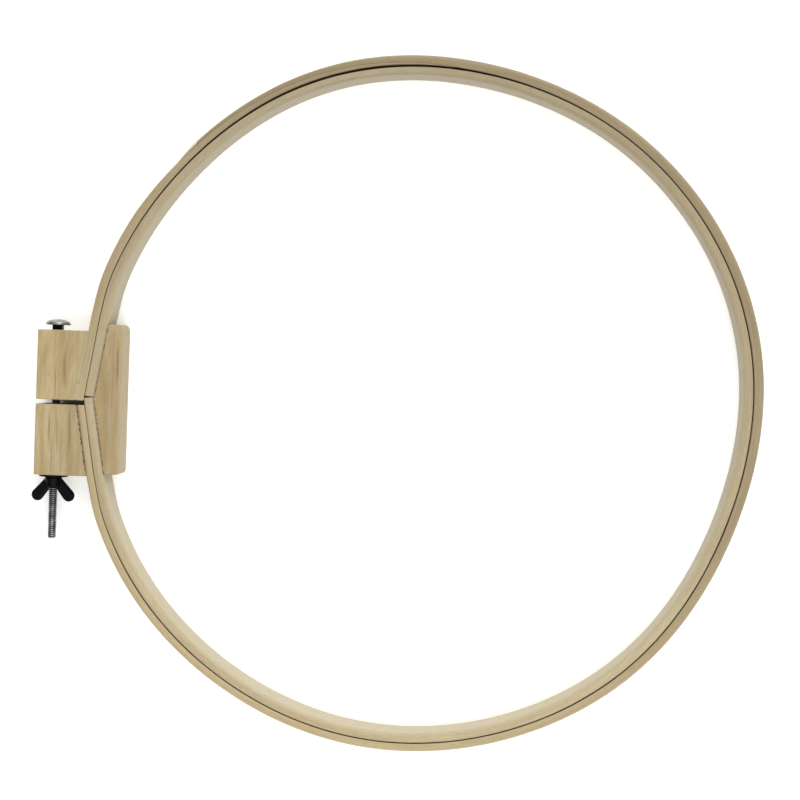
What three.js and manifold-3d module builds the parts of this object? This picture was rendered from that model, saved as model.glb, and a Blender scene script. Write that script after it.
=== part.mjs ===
// Embroidery hoop lying flat: an inner and an outer bentwood ring, drawn together at a clamp.
// Millimetres, +Z up. The clamp is on the -X side, and its bolt runs along Y at mid height.
import * as THREE from "three";
import { mergeVertices } from "three/addons/utils/BufferGeometryUtils.js";
import Module from "manifold-3d";

const wasm = await Module();
wasm.setup();

// ---- driving dimensions ----

const RING_DEPTH = 25.4;         // height of the rings and of the blocks
const GAP_RADIUS = 178.1;        // mean radius of the gap between the two rings
const RING_GAP = 0.7;            // width of that gap
const INNER_THICKNESS = 4.8;     // inner ring's strip
const OUTER_THICKNESS = 4.8;     // outer ring's strip, on average
const OUTER_THICKENING = 0.6;    // the outer strip is this much thicker at THICK_ANGLE, and thinner opposite
const THICK_ANGLE = 40;
const EDGE = 0.6;                // chamfer along the edges of the inner ring and the blocks
const THIN_EDGE = 0.35;          // and of the outer strips, which run thin at the lap
const JOINT_GAP = 0.3;           // room left between pieces that touch

// How far the bent rings are out of round: waves round the ring, with the angle of one crest.
const WAVES = [
  { count: 1, height: 0.42, crest: -85 },
  { count: 2, height: 1.7, crest: 74 },
  { count: 3, height: 0.3, crest: 18 },
  { count: 4, height: 0.76, crest: 23 },
  { count: 5, height: 0.35, crest: 25 },
  { count: 7, height: 0.3, crest: 5.5 },
];

// The ring ends stay straight at the clamp and meet in a shallow V.
const CORNER_X = -177.4;         // the V's corner, on the middle of the gap
const CORNER_Y = -3.5;
const END_SLOPE = 9.3;           // each end leans this far from Y
const END_REACH = 40;            // the ring is plainly wavy beyond this far round from the corner
const END_FILLET = { from: 9, to: 16, size: 2.4 };  // rounds the straight ends into the waves, nearer in
const CORNER_ANGLE = 180 + 1.13; // direction of the corner from the ring's centre
const BUTT_Y = -2.3;             // the inner ring's ends meet here
const BUTT_OUTER = 0.9;          // the slit between them, at the outer and inner faces
const BUTT_INNER = 0.3;

const BLOCK_LEFT = -203.5;       // outer face of the clamp blocks
const UPPER_BLOCK = [-4.35, 32.9];
const LOWER_BLOCK = [-44.8, -6.8];
const BLOCK_CORNER = 1.0;        // plan radius of the blocks' corners

const INNER_BLOCK = [-43.5, 36.8];
const INNER_BLOCK_RIGHT = -157.9;
const INNER_BLOCK_CORNERS = { upper: 3.2, lower: 1.0 };

const LAP_OUTER_END = 132;       // the long strip's end, on the outside of the lap
const LAP_SHOULDER = 147.5;      // the end strip is at full thickness from here to the clamp
const LAP_INNER_END = 90;        // the end strip's thin end, under the long strip
const LAP_STEP = 1.5;            // how far the long strip's end stands above the end strip
const LAP_TIP = 1.0;             // thickness of the end strip's thin end
const BACK_HALF_ANGLE = 3;       // the far side's short segment, each way from +X
const ANGLE_GAP = 0.1;           // room between strip ends, in degrees

const BOLT_X = -195.1;
const BOLT_Z = RING_DEPTH / 2;
const BOLT_DIAMETER = 4.8;
const BOLT_HEAD = { diameter: 13.5, height: 3.1, rim: 0.7, underside: 35.6 };
const BOLT_NECK = { width: 5.4, length: 4.2 };
const BOLT_END = -79.6;
const BOLT_TIP = 0.7;            // chamfer at the bolt's end
const BORE_DIAMETER = 6.8;
const WASHER = { outer: 15.6, inner: 5.4, thickness: 1.1, edge: 0.2 };
const NUT_HUB = { top: 9.2, bottom: 8.4, height: 5.6, bore: 5.4 };
const WING_ROOT = { reach: 3.0, drop: 3.0, radius: 2.1 };
const WING_TIP = { reach: 8.8, drop: 10.1, radius: 3.0 };
const WING_THICKNESS = 2.6;
const WING_EDGE = 0.7;

const BRAD = { diameter: 1.3, hole: 1.9, mouth: 2, inset: 0.4, sides: 8 };
const BRAD_HEIGHTS = [RING_DEPTH * 0.25, RING_DEPTH * 0.75];
const INNER_BRADS = { angles: [170.5, 191.5], length: 10 };
const OUTER_BRADS = { upper: 173, lower: 189.5, length: 13 };
const LAP_BRADS = { angles: [122, 108], length: 3.4 };

const WOOD = { color: 0xc3ae80, roughness: 0.62, metalness: 0 };
const BLOCK_WOOD = { color: 0xbfa676, roughness: 0.6, metalness: 0 };
const ZINC = { color: 0xa8aca2, roughness: 0.35, metalness: 0.9 };
const BLACK_STEEL = { color: 0x11151a, roughness: 0.4, metalness: 0.6 };
const STEEL = { color: 0x8a8a86, roughness: 0.4, metalness: 0.9 };

const STEP_ANGLE = 3;            // between the points along a strip's face
const LATHE_SIDES = 24;
const DOME_STEPS = 5;
const TINY = 1e-6;

const hoop = new THREE.Group();

// ---- solids ----

function toSolid(geometry) {
  const plain = geometry.index ? geometry.toNonIndexed() : geometry.clone();
  plain.deleteAttribute("normal");
  plain.deleteAttribute("uv");
  const merged = mergeVertices(plain, 1e-4);
  return new wasm.Manifold(new wasm.Mesh({
    numProp: 3,
    vertProperties: new Float32Array(merged.attributes.position.array),
    triVerts: new Uint32Array(merged.index.array),
  }));
}

function toGeometry(solid) {
  const mesh = solid.getMesh();
  const geometry = new THREE.BufferGeometry();
  geometry.setAttribute("position", new THREE.BufferAttribute(mesh.vertProperties, 3));
  geometry.setIndex(new THREE.BufferAttribute(mesh.triVerts, 1));
  geometry.computeVertexNormals();
  return geometry;
}

function cut(geometry, ...tools) {
  let solid = toSolid(geometry);
  for (const tool of tools) solid = solid.subtract(toSolid(tool));
  return toGeometry(solid);
}

function add(name, geometry, finish) {
  const mesh = new THREE.Mesh(geometry, new THREE.MeshStandardMaterial(finish));
  mesh.name = name;
  hoop.add(mesh);
}

// A plan outline raised to the full depth, with chamfered top and bottom edges.
function raised(outline, edge = EDGE) {
  const shape = Array.isArray(outline) ? new THREE.Shape(outline) : outline;
  const geometry = new THREE.ExtrudeGeometry(shape, {
    depth: RING_DEPTH - 2 * edge,
    bevelSize: edge,
    bevelThickness: edge,
    bevelOffset: -edge,
    bevelSegments: 1,
    curveSegments: 6,
  });
  return geometry.translate(0, 0, edge);
}

// A cylinder from one point to another.
function rod(from, to, diameter, sides) {
  const axis = new THREE.Vector3().subVectors(to, from);
  const geometry = new THREE.CylinderGeometry(diameter / 2, diameter / 2, axis.length(), sides);
  const up = new THREE.Vector3(0, 1, 0);
  geometry.applyQuaternion(new THREE.Quaternion().setFromUnitVectors(up, axis.clone().normalize()));
  return geometry.translate(...new THREE.Vector3().addVectors(from, to).multiplyScalar(0.5));
}

// ---- the ring's plan curve ----

function wavyRadius(angle) {
  const waves = WAVES.map((w) => w.height * Math.cos(w.count * THREE.MathUtils.degToRad(angle - w.crest)));
  return waves.reduce((sum, wave) => sum + wave, GAP_RADIUS);
}

// Radius of the straight end above or below the corner: a line, in polar form.
function straightRadius(angle) {
  const side = angle < CORNER_ANGLE ? 1 : -1;
  const slope = THREE.MathUtils.degToRad(END_SLOPE);
  const distance = -CORNER_X * Math.cos(slope) + side * CORNER_Y * Math.sin(slope);
  return distance / Math.cos(THREE.MathUtils.degToRad(angle - 180) + side * slope);
}

// Radius of the middle of the gap between the rings. Angles run from 0 to 360 degrees.
function gapRadius(angle) {
  const turned = THREE.MathUtils.euclideanModulo(angle, 360);
  const away = Math.abs(turned - CORNER_ANGLE);
  const wavy = wavyRadius(turned);
  if (away > END_REACH) return wavy;
  const straight = straightRadius(turned);
  if (away < END_FILLET.from) return straight;
  const fillet = END_FILLET.size * THREE.MathUtils.smoothstep(away, END_FILLET.from, END_FILLET.to);
  const closeness = Math.max(1 - Math.abs(straight - wavy) / Math.max(fillet, TINY), 0);
  return Math.min(straight, wavy) - (closeness * closeness * fillet) / 4;
}

function outerThickness(angle) {
  return OUTER_THICKNESS + OUTER_THICKENING * Math.cos(THREE.MathUtils.degToRad(angle - THICK_ANGLE));
}

const innerRingInside = (angle) => gapRadius(angle) - RING_GAP / 2 - INNER_THICKNESS;
const innerRingOutside = (angle) => gapRadius(angle) - RING_GAP / 2;
const outerRingInside = (angle) => gapRadius(angle) + RING_GAP / 2;
const outerRingOutside = (angle) => outerRingInside(angle) + outerThickness(angle);

function polar(radius, angle) {
  const turn = THREE.MathUtils.degToRad(angle);
  return new THREE.Vector2(radius * Math.cos(turn), radius * Math.sin(turn));
}

// Points along one face of a strip, from one angle to another.
function facePoints(radiusAt, from, to) {
  const steps = Math.max(2, Math.ceil(Math.abs(to - from) / STEP_ANGLE));
  return Array.from({ length: steps + 1 }, (_, i) => {
    const angle = THREE.MathUtils.lerp(from, to, i / steps);
    return polar(radiusAt(angle), angle);
  });
}

// A strip's plan outline between its inside and outside faces. Each face runs from one angle to another.
function stripOutline(inside, outside) {
  return [
    ...facePoints(outside.radius, outside.from, outside.to),
    ...facePoints(inside.radius, inside.to, inside.from),
  ];
}

// The angle where a face near the clamp crosses a given Y.
function angleAtY(radiusAt, y) {
  let angle = 180;
  for (let pass = 0; pass < 8; pass += 1) {
    angle = 180 - THREE.MathUtils.radToDeg(Math.asin(y / radiusAt(angle)));
  }
  return angle;
}

// ---- brads: small nails, square to a strip's face ----

// The axis of a brad, from its head near a strip's face to its point, outward or inward.
function bradAxis(radiusAt, angle, height, length, inward = false) {
  const side = Math.sign(angle - CORNER_ANGLE);
  const atEnds = Math.abs(angle - CORNER_ANGLE) < END_REACH;
  const across = polar(inward ? -1 : 1, atEnds ? 180 + side * END_SLOPE : angle);
  const axis = new THREE.Vector3(across.x, across.y, 0);
  const head = polar(radiusAt(angle), angle);
  const from = new THREE.Vector3(head.x, head.y, height).addScaledVector(axis, BRAD.inset);
  return { from, to: from.clone().addScaledVector(axis, length) };
}

const brad = ({ from, to }) => rod(from, to, BRAD.diameter, BRAD.sides);

// The hole runs out through the strip's face and a little past the brad's point.
function bradHole({ from, to }) {
  const along = new THREE.Vector3().subVectors(to, from).normalize();
  const mouth = from.clone().addScaledVector(along, -BRAD.mouth);
  const bottom = to.clone().addScaledVector(along, JOINT_GAP);
  return rod(mouth, bottom, BRAD.hole, BRAD.sides);
}

const innerBrads = INNER_BRADS.angles.flatMap((angle) =>
  BRAD_HEIGHTS.map((height) => bradAxis(innerRingOutside, angle, height, INNER_BRADS.length, true)));
const outerBrads = (angle) =>
  BRAD_HEIGHTS.map((height) => bradAxis(outerRingInside, angle, height, OUTER_BRADS.length));
const upperBrads = outerBrads(OUTER_BRADS.upper);
const lowerBrads = outerBrads(OUTER_BRADS.lower);
const lapBrads = LAP_BRADS.angles.map((angle, i) =>
  bradAxis(outerRingInside, angle, BRAD_HEIGHTS[i], LAP_BRADS.length));

// ---- inner ring and its block ----

function innerRing() {
  const face = (radius, slit) => ({
    radius,
    from: angleAtY(radius, BUTT_Y - slit / 2),
    to: angleAtY(radius, BUTT_Y + slit / 2) + 360,
  });
  const outline = stripOutline(face(innerRingInside, BUTT_INNER), face(innerRingOutside, BUTT_OUTER));
  return cut(raised(outline), ...innerBrads.map(bradHole));
}

// A closed outline through corner points, each rounded to its own radius r.
function roundedShape(corners) {
  const shape = new THREE.Shape();
  corners.forEach((corner, i) => {
    const here = new THREE.Vector2(corner.x, corner.y);
    const reach = corner.r ?? 0;
    const towards = (other) => new THREE.Vector2(other.x, other.y).sub(here).setLength(reach).add(here);
    const enter = towards(corners.at(i - 1));
    const leave = towards(corners[(i + 1) % corners.length]);
    if (i === 0) shape.moveTo(enter.x, enter.y);
    else shape.lineTo(enter.x, enter.y);
    if (reach) shape.quadraticCurveTo(here.x, here.y, leave.x, leave.y);
  });
  return shape;
}

// Points down a face near the clamp, from one Y to another.
function faceBetween(radius, fromY, toY) {
  return facePoints(radius, angleAtY(radius, fromY), angleAtY(radius, toY));
}

function innerBlock() {
  const [lower, upper] = INNER_BLOCK;
  const seat = (angle) => innerRingInside(angle) - JOINT_GAP;
  const shape = roundedShape([
    { x: INNER_BLOCK_RIGHT, y: lower, r: INNER_BLOCK_CORNERS.lower },
    { x: INNER_BLOCK_RIGHT, y: upper, r: INNER_BLOCK_CORNERS.upper },
    ...faceBetween(seat, upper, lower),
  ]);
  return cut(raised(shape), ...innerBrads.map(bradHole));
}

// ---- outer ring: two strips lapped at the upper left, and their blocks ----

// Thickness of the end strip: full at the clamp, then falling along the lap to its thin end.
function endStripThickness(angle) {
  const full = outerThickness(angle);
  const onShoulder = (LAP_SHOULDER - angle) / (LAP_SHOULDER - LAP_OUTER_END);
  if (onShoulder < 1) return full - LAP_STEP * Math.max(onShoulder, 0);
  const underLap = (LAP_OUTER_END - angle) / (LAP_OUTER_END - LAP_INNER_END);
  return THREE.MathUtils.lerp(full - LAP_STEP, LAP_TIP, underLap);
}

const endStripOutside = (angle) => outerRingInside(angle) + endStripThickness(angle);
const overLap = (angle) => endStripOutside(angle) + JOINT_GAP;

function endStrip() {
  const clampY = UPPER_BLOCK[0];
  const outline = stripOutline(
    { radius: outerRingInside, from: LAP_INNER_END, to: angleAtY(outerRingInside, clampY) },
    { radius: endStripOutside, from: LAP_INNER_END, to: angleAtY(endStripOutside, clampY) },
  );
  return cut(raised(outline, THIN_EDGE), ...[...upperBrads, ...lapBrads].map(bradHole));
}

function longStripUpper() {
  const start = BACK_HALF_ANGLE + ANGLE_GAP;
  const step = LAP_INNER_END - ANGLE_GAP;
  const outline = [
    ...facePoints(outerRingOutside, start, LAP_OUTER_END),
    ...facePoints(overLap, LAP_OUTER_END, step),
    ...facePoints(outerRingInside, step, start),
  ];
  return cut(raised(outline, THIN_EDGE), ...lapBrads.map(bradHole));
}

function longStripBack() {
  const face = (radius) => ({ radius, from: -BACK_HALF_ANGLE, to: BACK_HALF_ANGLE });
  return raised(stripOutline(face(outerRingInside), face(outerRingOutside)), THIN_EDGE);
}

function longStripLower() {
  const face = (radius) => ({
    radius,
    from: angleAtY(radius, LOWER_BLOCK[1]),
    to: 360 - BACK_HALF_ANGLE - ANGLE_GAP,
  });
  const outline = stripOutline(face(outerRingInside), face(outerRingOutside));
  return cut(raised(outline, THIN_EDGE), ...lowerBrads.map(bradHole));
}

function outerBlock([lower, upper], ...tools) {
  const seat = (angle) => outerRingOutside(angle) + JOINT_GAP;
  const shape = roundedShape([
    { x: BLOCK_LEFT, y: upper, r: BLOCK_CORNER },
    { x: BLOCK_LEFT, y: lower, r: BLOCK_CORNER },
    ...faceBetween(seat, lower, upper),
  ]);
  return cut(raised(shape), onBolt(lower - 1, upper + 1, BORE_DIAMETER), ...tools);
}

// ---- bolt, washer and wing nut ----

function onBolt(fromY, toY, diameter) {
  const from = new THREE.Vector3(BOLT_X, fromY, BOLT_Z);
  const to = new THREE.Vector3(BOLT_X, toY, BOLT_Z);
  return rod(from, to, diameter, LATHE_SIDES);
}

// A turned piece on the bolt's axis, from a profile of [radius, y] points.
function turned(profile) {
  const points = profile.map(([radius, y]) => new THREE.Vector2(radius, y));
  return new THREE.LatheGeometry(points, LATHE_SIDES).translate(BOLT_X, 0, BOLT_Z);
}

function squareOnBolt(width, bottomY, topY) {
  const box = new THREE.BoxGeometry(width, topY - bottomY, width);
  return box.translate(BOLT_X, (bottomY + topY) / 2, BOLT_Z);
}

function carriageBolt() {
  const { diameter, height, rim, underside } = BOLT_HEAD;
  const radius = BOLT_DIAMETER / 2;
  const headRadius = diameter / 2;
  const dome = Array.from({ length: DOME_STEPS - 1 }, (_, i) => {
    const turn = (Math.PI / 2) * ((i + 1) / DOME_STEPS);
    return [headRadius * Math.cos(turn), underside + rim + (height - rim) * Math.sin(turn)];
  });
  const body = turned([
    [0, BOLT_END],
    [radius - BOLT_TIP, BOLT_END],
    [radius, BOLT_END + BOLT_TIP],
    [radius, underside],
    [headRadius, underside],
    [headRadius, underside + rim],
    ...dome,
    [0, underside + height],
  ]);
  const neck = squareOnBolt(BOLT_NECK.width, underside - BOLT_NECK.length, underside + rim / 2);
  return toGeometry(toSolid(body).add(toSolid(neck)));
}

function neckRecess() {
  const bottom = BOLT_HEAD.underside - BOLT_NECK.length - JOINT_GAP;
  return squareOnBolt(BOLT_NECK.width + 3 * JOINT_GAP, bottom, UPPER_BLOCK[1] + 1);
}

const WASHER_TOP = LOWER_BLOCK[0] - JOINT_GAP;
const NUT_TOP = WASHER_TOP - WASHER.thickness - JOINT_GAP;

function ringProfile(innerRadius, outerRadius, bottomY, topY, edge) {
  return [
    [innerRadius, bottomY],
    [outerRadius - edge, bottomY],
    [outerRadius, bottomY + edge],
    [outerRadius, topY - edge],
    [outerRadius - edge, topY],
    [innerRadius, topY],
    [innerRadius, bottomY],
  ];
}

function washer() {
  const outer = WASHER.outer / 2;
  return turned(ringProfile(WASHER.inner / 2, outer, WASHER_TOP - WASHER.thickness, WASHER_TOP, WASHER.edge));
}

// One wing: a flat paddle with round ends, slanting away from the washer. side is -1 or 1.
function wing(side) {
  const root = new THREE.Vector2(side * WING_ROOT.reach, -WING_ROOT.drop);
  const tip = new THREE.Vector2(side * WING_TIP.reach, -WING_TIP.drop);
  const heading = tip.clone().sub(root).angle();
  const shape = new THREE.Shape();
  shape.absarc(tip.x, tip.y, WING_TIP.radius, heading - Math.PI / 2, heading + Math.PI / 2);
  shape.absarc(root.x, root.y, WING_ROOT.radius, heading + Math.PI / 2, heading + (3 * Math.PI) / 2);
  const geometry = new THREE.ExtrudeGeometry(shape, {
    depth: WING_THICKNESS - 2 * WING_EDGE,
    bevelSize: WING_EDGE,
    bevelThickness: WING_EDGE,
    bevelOffset: -WING_EDGE,
    bevelSegments: 2,
    curveSegments: 8,
  });
  return geometry.translate(BOLT_X, NUT_TOP, BOLT_Z - WING_THICKNESS / 2 + WING_EDGE);
}

function wingNut() {
  const bottom = NUT_TOP - NUT_HUB.height;
  const hub = turned([
    [0, bottom],
    [NUT_HUB.bottom / 2 - WING_EDGE, bottom],
    [NUT_HUB.bottom / 2, bottom + WING_EDGE],
    [NUT_HUB.top / 2, NUT_TOP - WING_EDGE / 2],
    [NUT_HUB.top / 2 - WING_EDGE / 2, NUT_TOP],
    [0, NUT_TOP],
  ]);
  const bore = onBolt(bottom - 1, NUT_TOP + 1, NUT_HUB.bore);
  return toGeometry(toSolid(hub).add(toSolid(wing(-1))).add(toSolid(wing(1))).subtract(toSolid(bore)));
}

// ---- the assembly ----

add("inner_ring", innerRing(), WOOD);
add("inner_block", innerBlock(), BLOCK_WOOD);
add("outer_strip_end", endStrip(), WOOD);
add("outer_strip_upper", longStripUpper(), WOOD);
add("outer_strip_back", longStripBack(), WOOD);
add("outer_strip_lower", longStripLower(), WOOD);
add("outer_block_upper", outerBlock(UPPER_BLOCK, neckRecess(), ...upperBrads.map(bradHole)), BLOCK_WOOD);
add("outer_block_lower", outerBlock(LOWER_BLOCK, ...lowerBrads.map(bradHole)), BLOCK_WOOD);
add("carriage_bolt", carriageBolt(), ZINC);
add("washer", washer(), BLACK_STEEL);
add("wing_nut", wingNut(), BLACK_STEEL);
innerBrads.forEach((axis, i) => add(`inner_brad_${i + 1}`, brad(axis), STEEL));
upperBrads.forEach((axis, i) => add(`upper_brad_${i + 1}`, brad(axis), STEEL));
lowerBrads.forEach((axis, i) => add(`lower_brad_${i + 1}`, brad(axis), STEEL));
lapBrads.forEach((axis, i) => add(`lap_brad_${i + 1}`, brad(axis), STEEL));

// The origin is the middle of the bounding box, at the bottom.
const box = new THREE.Box3().setFromObject(hoop);
const middle = box.getCenter(new THREE.Vector3());
hoop.position.set(-middle.x, -middle.y, -box.min.z);
hoop.updateMatrixWorld(true);

export default hoop;
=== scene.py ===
"""Round wooden embroidery hoop: two bentwood rings, clamp blocks, carriage bolt, washer and wing nut.

Shapes are worked out in millimetres from the rings' centre, and made in metres in the row frame.
"""
import math

import bmesh
import bpy
import numpy as np
from mathutils import Matrix, Vector, noise


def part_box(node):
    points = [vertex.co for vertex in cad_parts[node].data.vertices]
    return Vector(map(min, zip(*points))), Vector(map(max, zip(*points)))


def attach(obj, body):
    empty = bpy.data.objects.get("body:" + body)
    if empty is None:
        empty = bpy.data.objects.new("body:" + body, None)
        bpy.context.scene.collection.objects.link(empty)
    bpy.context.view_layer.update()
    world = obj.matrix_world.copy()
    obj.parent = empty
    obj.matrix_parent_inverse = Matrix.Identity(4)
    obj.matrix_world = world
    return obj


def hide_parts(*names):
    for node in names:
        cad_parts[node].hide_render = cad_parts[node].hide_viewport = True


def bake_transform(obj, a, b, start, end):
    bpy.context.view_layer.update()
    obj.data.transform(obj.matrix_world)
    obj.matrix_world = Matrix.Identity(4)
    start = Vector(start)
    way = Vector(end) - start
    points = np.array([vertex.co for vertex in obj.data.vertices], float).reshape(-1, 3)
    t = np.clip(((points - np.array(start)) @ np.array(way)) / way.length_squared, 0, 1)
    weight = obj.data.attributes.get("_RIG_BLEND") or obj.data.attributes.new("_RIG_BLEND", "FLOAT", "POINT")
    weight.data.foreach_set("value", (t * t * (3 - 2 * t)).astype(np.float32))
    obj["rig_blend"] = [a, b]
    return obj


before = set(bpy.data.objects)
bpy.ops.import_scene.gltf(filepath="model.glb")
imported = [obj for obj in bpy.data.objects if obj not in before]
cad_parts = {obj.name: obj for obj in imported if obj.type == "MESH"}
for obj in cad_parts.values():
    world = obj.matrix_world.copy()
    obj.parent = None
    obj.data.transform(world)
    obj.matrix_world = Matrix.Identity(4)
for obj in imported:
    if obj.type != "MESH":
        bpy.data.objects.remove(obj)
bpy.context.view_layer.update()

MM = 0.001

# ---- the CAD's driving dimensions, in millimetres and degrees ----

DEPTH = 25.4
GAP_RADIUS = 178.1
RING_GAP = 0.7
INNER_THICKNESS = 4.8
OUTER_THICKNESS = 4.8
OUTER_THICKENING = 0.6
THICK_ANGLE = 40
# waves round the rings: count, height, angle of a crest
WAVES = ((1, 0.42, -85), (2, 1.7, 74), (3, 0.3, 18), (4, 0.76, 23), (5, 0.35, 25), (7, 0.3, 5.5))
CORNER = (-177.4, -3.5)
CORNER_ANGLE = 181.13
END_SLOPE = math.radians(9.3)
END_REACH = 40
FILLET_FROM, FILLET_TO, FILLET_SIZE = 9, 16, 2.4
BUTT_Y = -2.3
BLOCK_LEFT = -203.5
UPPER_BLOCK = (-4.35, 32.9)
LOWER_BLOCK = (-44.8, -6.8)
INNER_BLOCK = (-43.5, 36.8)
INNER_BLOCK_RIGHT = -157.9
LAP_OUTER_END, LAP_SHOULDER, LAP_INNER_END = 132, 147.5, 90
LAP_STEP, LAP_TIP = 1.5, 1.0
BOLT_X, BOLT_Z = -195.1, DEPTH / 2
HEAD_UNDERSIDE, HEAD_HEIGHT, HEAD_RADIUS = 35.6, 3.1, 6.75
NECK = 5.4
BOLT_RADIUS, BOLT_END = 2.4, -79.6
PITCH = 25.4 / 24
BORE_RADIUS = 3.4
WASHER_TOP, WASHER_THICKNESS, WASHER_RADIUS = -45.1, 1.1, 7.8
NUT_TOP = -46.5

bolt_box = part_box("carriage_bolt")
ORIGIN = Vector((
    (bolt_box[0].x + bolt_box[1].x) / 2 - BOLT_X * MM,
    bolt_box[1].y - (HEAD_UNDERSIDE + HEAD_HEIGHT) * MM,
    0,
))


def place(x, y, z):
    """A point in millimetres from the rings' centre, in the row frame."""
    return ORIGIN + Vector((x, y, z)) * MM


# ---- camera, light and floor ----

CAMERA_EYE = place(44.0, 26.3, 1150.4)
CAMERA_TARGET = place(-8.8, 2.0, DEPTH)
CAMERA_LEAN = math.radians(2.0)
CAMERA_LENS, CAMERA_SENSOR = 95.74, 36

# the studio's light along x: dimmest up to one direction, brightest from the other on
DIM_UNTIL, BRIGHT_FROM = -0.95, -0.35
DIM_STRENGTH, BRIGHT_STRENGTH = 0.12, 0.72

FLOOR_SIZE, FLOOR_Z = 24, -0.0002
FLOOR_COLOUR = (0.88, 0.88, 0.87, 1)
# painted light: the floor glows to wash out the hoop's shadows on it, except near the clamp's slot
FLOOR_PAINTED_GLOW = 0.32
CLAMP_SLOT = place(-181, -5.5, 0)
NO_GLOW_WITHIN, FULL_GLOW_BEYOND = 0.012, 0.020     # distances from the clamp's slot, in metres


def make_camera():
    """Almost straight down on the hoop, from a little right of its middle, turned by the clamp's lean."""
    forward = (CAMERA_TARGET - CAMERA_EYE).normalized()
    right = forward.cross(Vector((-math.sin(CAMERA_LEAN), math.cos(CAMERA_LEAN), 0))).normalized()
    up = right.cross(forward)
    data = bpy.data.cameras.new("camera")
    data.lens = CAMERA_LENS
    data.sensor_width = CAMERA_SENSOR
    camera = bpy.data.objects.new("camera", data)
    rotation = Matrix((right, up, -forward)).transposed().to_4x4()
    camera.matrix_world = Matrix.Translation(CAMERA_EYE) @ rotation
    bpy.context.scene.collection.objects.link(camera)
    bpy.context.scene.camera = camera


def area_light(name, at, towards, size, power):
    data = bpy.data.lights.new(name, "AREA")
    data.size = size
    data.energy = power
    light = bpy.data.objects.new(name, data)
    light.location = at
    light.rotation_euler = (Vector(towards) - Vector(at)).to_track_quat("-Z", "Y").to_euler()
    bpy.context.scene.collection.objects.link(light)


def make_light():
    area_light("key", at=(0.2, 1.85, 1.15), towards=(0, 0, 0), size=1.3, power=26)
    area_light("front", at=(0.1, -0.6, 1.05), towards=(0, -0.15, 0), size=0.9, power=7.5)
    world = bpy.data.worlds.new("studio")
    bpy.context.scene.world = world
    world.use_nodes = True
    tree = world.node_tree
    direction = tree.nodes.new("ShaderNodeTexCoord")
    parts = tree.nodes.new("ShaderNodeSeparateXYZ")
    tree.links.new(direction.outputs["Generated"], parts.inputs[0])
    dimming = tree.nodes.new("ShaderNodeMapRange")
    limits = {"From Min": DIM_UNTIL, "From Max": BRIGHT_FROM,
              "To Min": DIM_STRENGTH, "To Max": BRIGHT_STRENGTH}
    for socket, value in limits.items():
        dimming.inputs[socket].default_value = value
    tree.links.new(parts.outputs["X"], dimming.inputs["Value"])
    tree.links.new(dimming.outputs["Result"], tree.nodes["Background"].inputs["Strength"])
    tree.nodes["Background"].inputs["Color"].default_value = (1, 1, 1, 1)
    bpy.context.scene.view_settings.view_transform = "Standard"


# ---- materials ----

class Nodes:
    """Short calls for building a material's node tree."""

    def __init__(self, name):
        self.material = bpy.data.materials.new(name)
        self.material.use_nodes = True
        self.tree = self.material.node_tree
        self.shader = self.tree.nodes["Principled BSDF"]

    def add(self, kind, inputs=(), **settings):
        node = self.tree.nodes.new(kind)
        for key, value in settings.items():
            setattr(node, key, value)
        for key, value in dict(inputs).items():
            if isinstance(value, bpy.types.NodeSocket):
                self.tree.links.new(value, node.inputs[key])
            else:
                node.inputs[key].default_value = value
        return node

    def link(self, source, target):
        self.tree.links.new(source, target)

    def math(self, operation, a, b=0.0):
        return self.add("ShaderNodeMath", {0: a, 1: b}, operation=operation).outputs[0]

    def scaled(self, vector, scale, offset=(0, 0, 0)):
        inputs = {"Vector": vector, "Scale": scale, "Location": offset}
        return self.add("ShaderNodeMapping", inputs).outputs["Vector"]

    def noise(self, vector, scale=1.0, detail=3.0, roughness=0.5, distortion=0.0):
        inputs = {"Vector": vector, "Scale": scale, "Detail": detail, "Roughness": roughness,
                  "Distortion": distortion}
        return self.add("ShaderNodeTexNoise", inputs).outputs["Fac"]

    def tint(self, factor, low, high, dark, light):
        """A grey to multiply by, from dark to light as the factor goes from low to high."""
        node = self.add("ShaderNodeValToRGB", {"Fac": factor})
        for element, position, grey in zip(node.color_ramp.elements, (low, high), (dark, light)):
            element.position = position
            element.color = (grey, grey, grey, 1)
        return node.outputs["Color"]

    def span(self, value, low, high, to_low=0.0, to_high=1.0):
        inputs = {"Value": value, "From Min": low, "From Max": high, "To Min": to_low, "To Max": to_high}
        return self.add("ShaderNodeMapRange", inputs).outputs["Result"]

    def mix(self, factor, a, b, blend="MIX"):
        node = self.add("ShaderNodeMix", {}, data_type="RGBA", blend_type=blend)
        for index, value in ((0, factor), (6, a), (7, b)):
            if isinstance(value, bpy.types.NodeSocket):
                self.link(value, node.inputs[index])
            else:
                node.inputs[index].default_value = value if index == 0 else (*value, 1)
        return node.outputs[2]

    def bump(self, height, strength, distance):
        inputs = {"Height": height, "Strength": strength, "Distance": distance}
        return self.add("ShaderNodeBump", inputs).outputs[0]


def make_floor():
    """A pale table that glows faintly as painted light, washing out the hoop's shadows, except under the
    clamp's slot, which stays dark.
    """
    bpy.ops.mesh.primitive_plane_add(size=FLOOR_SIZE, location=(0, 0, FLOOR_Z))
    floor = bpy.context.object
    floor.name = "floor"
    n = Nodes("floor")
    n.shader.inputs["Base Color"].default_value = FLOOR_COLOUR
    n.shader.inputs["Roughness"].default_value = 0.9
    n.shader.inputs["Emission Color"].default_value = (1, 1, 1, 1)
    where = n.add("ShaderNodeTexCoord").outputs["Object"]
    to_slot = n.add("ShaderNodeVectorMath", {0: where, 1: tuple(CLAMP_SLOT)}, operation="DISTANCE")
    painted_glow = n.span(to_slot.outputs["Value"], NO_GLOW_WITHIN, FULL_GLOW_BEYOND, 0.0, FLOOR_PAINTED_GLOW)
    n.link(painted_glow, n.shader.inputs["Emission Strength"])
    floor.data.materials.append(n.material)


RELIEF = 0.00012
GAP_SHADE_SHARE = 0.75
GAP_SHADE_BROWN = (0.20, 0.105, 0.040)        # painted shade on the faces inside the gap between the rings
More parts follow.
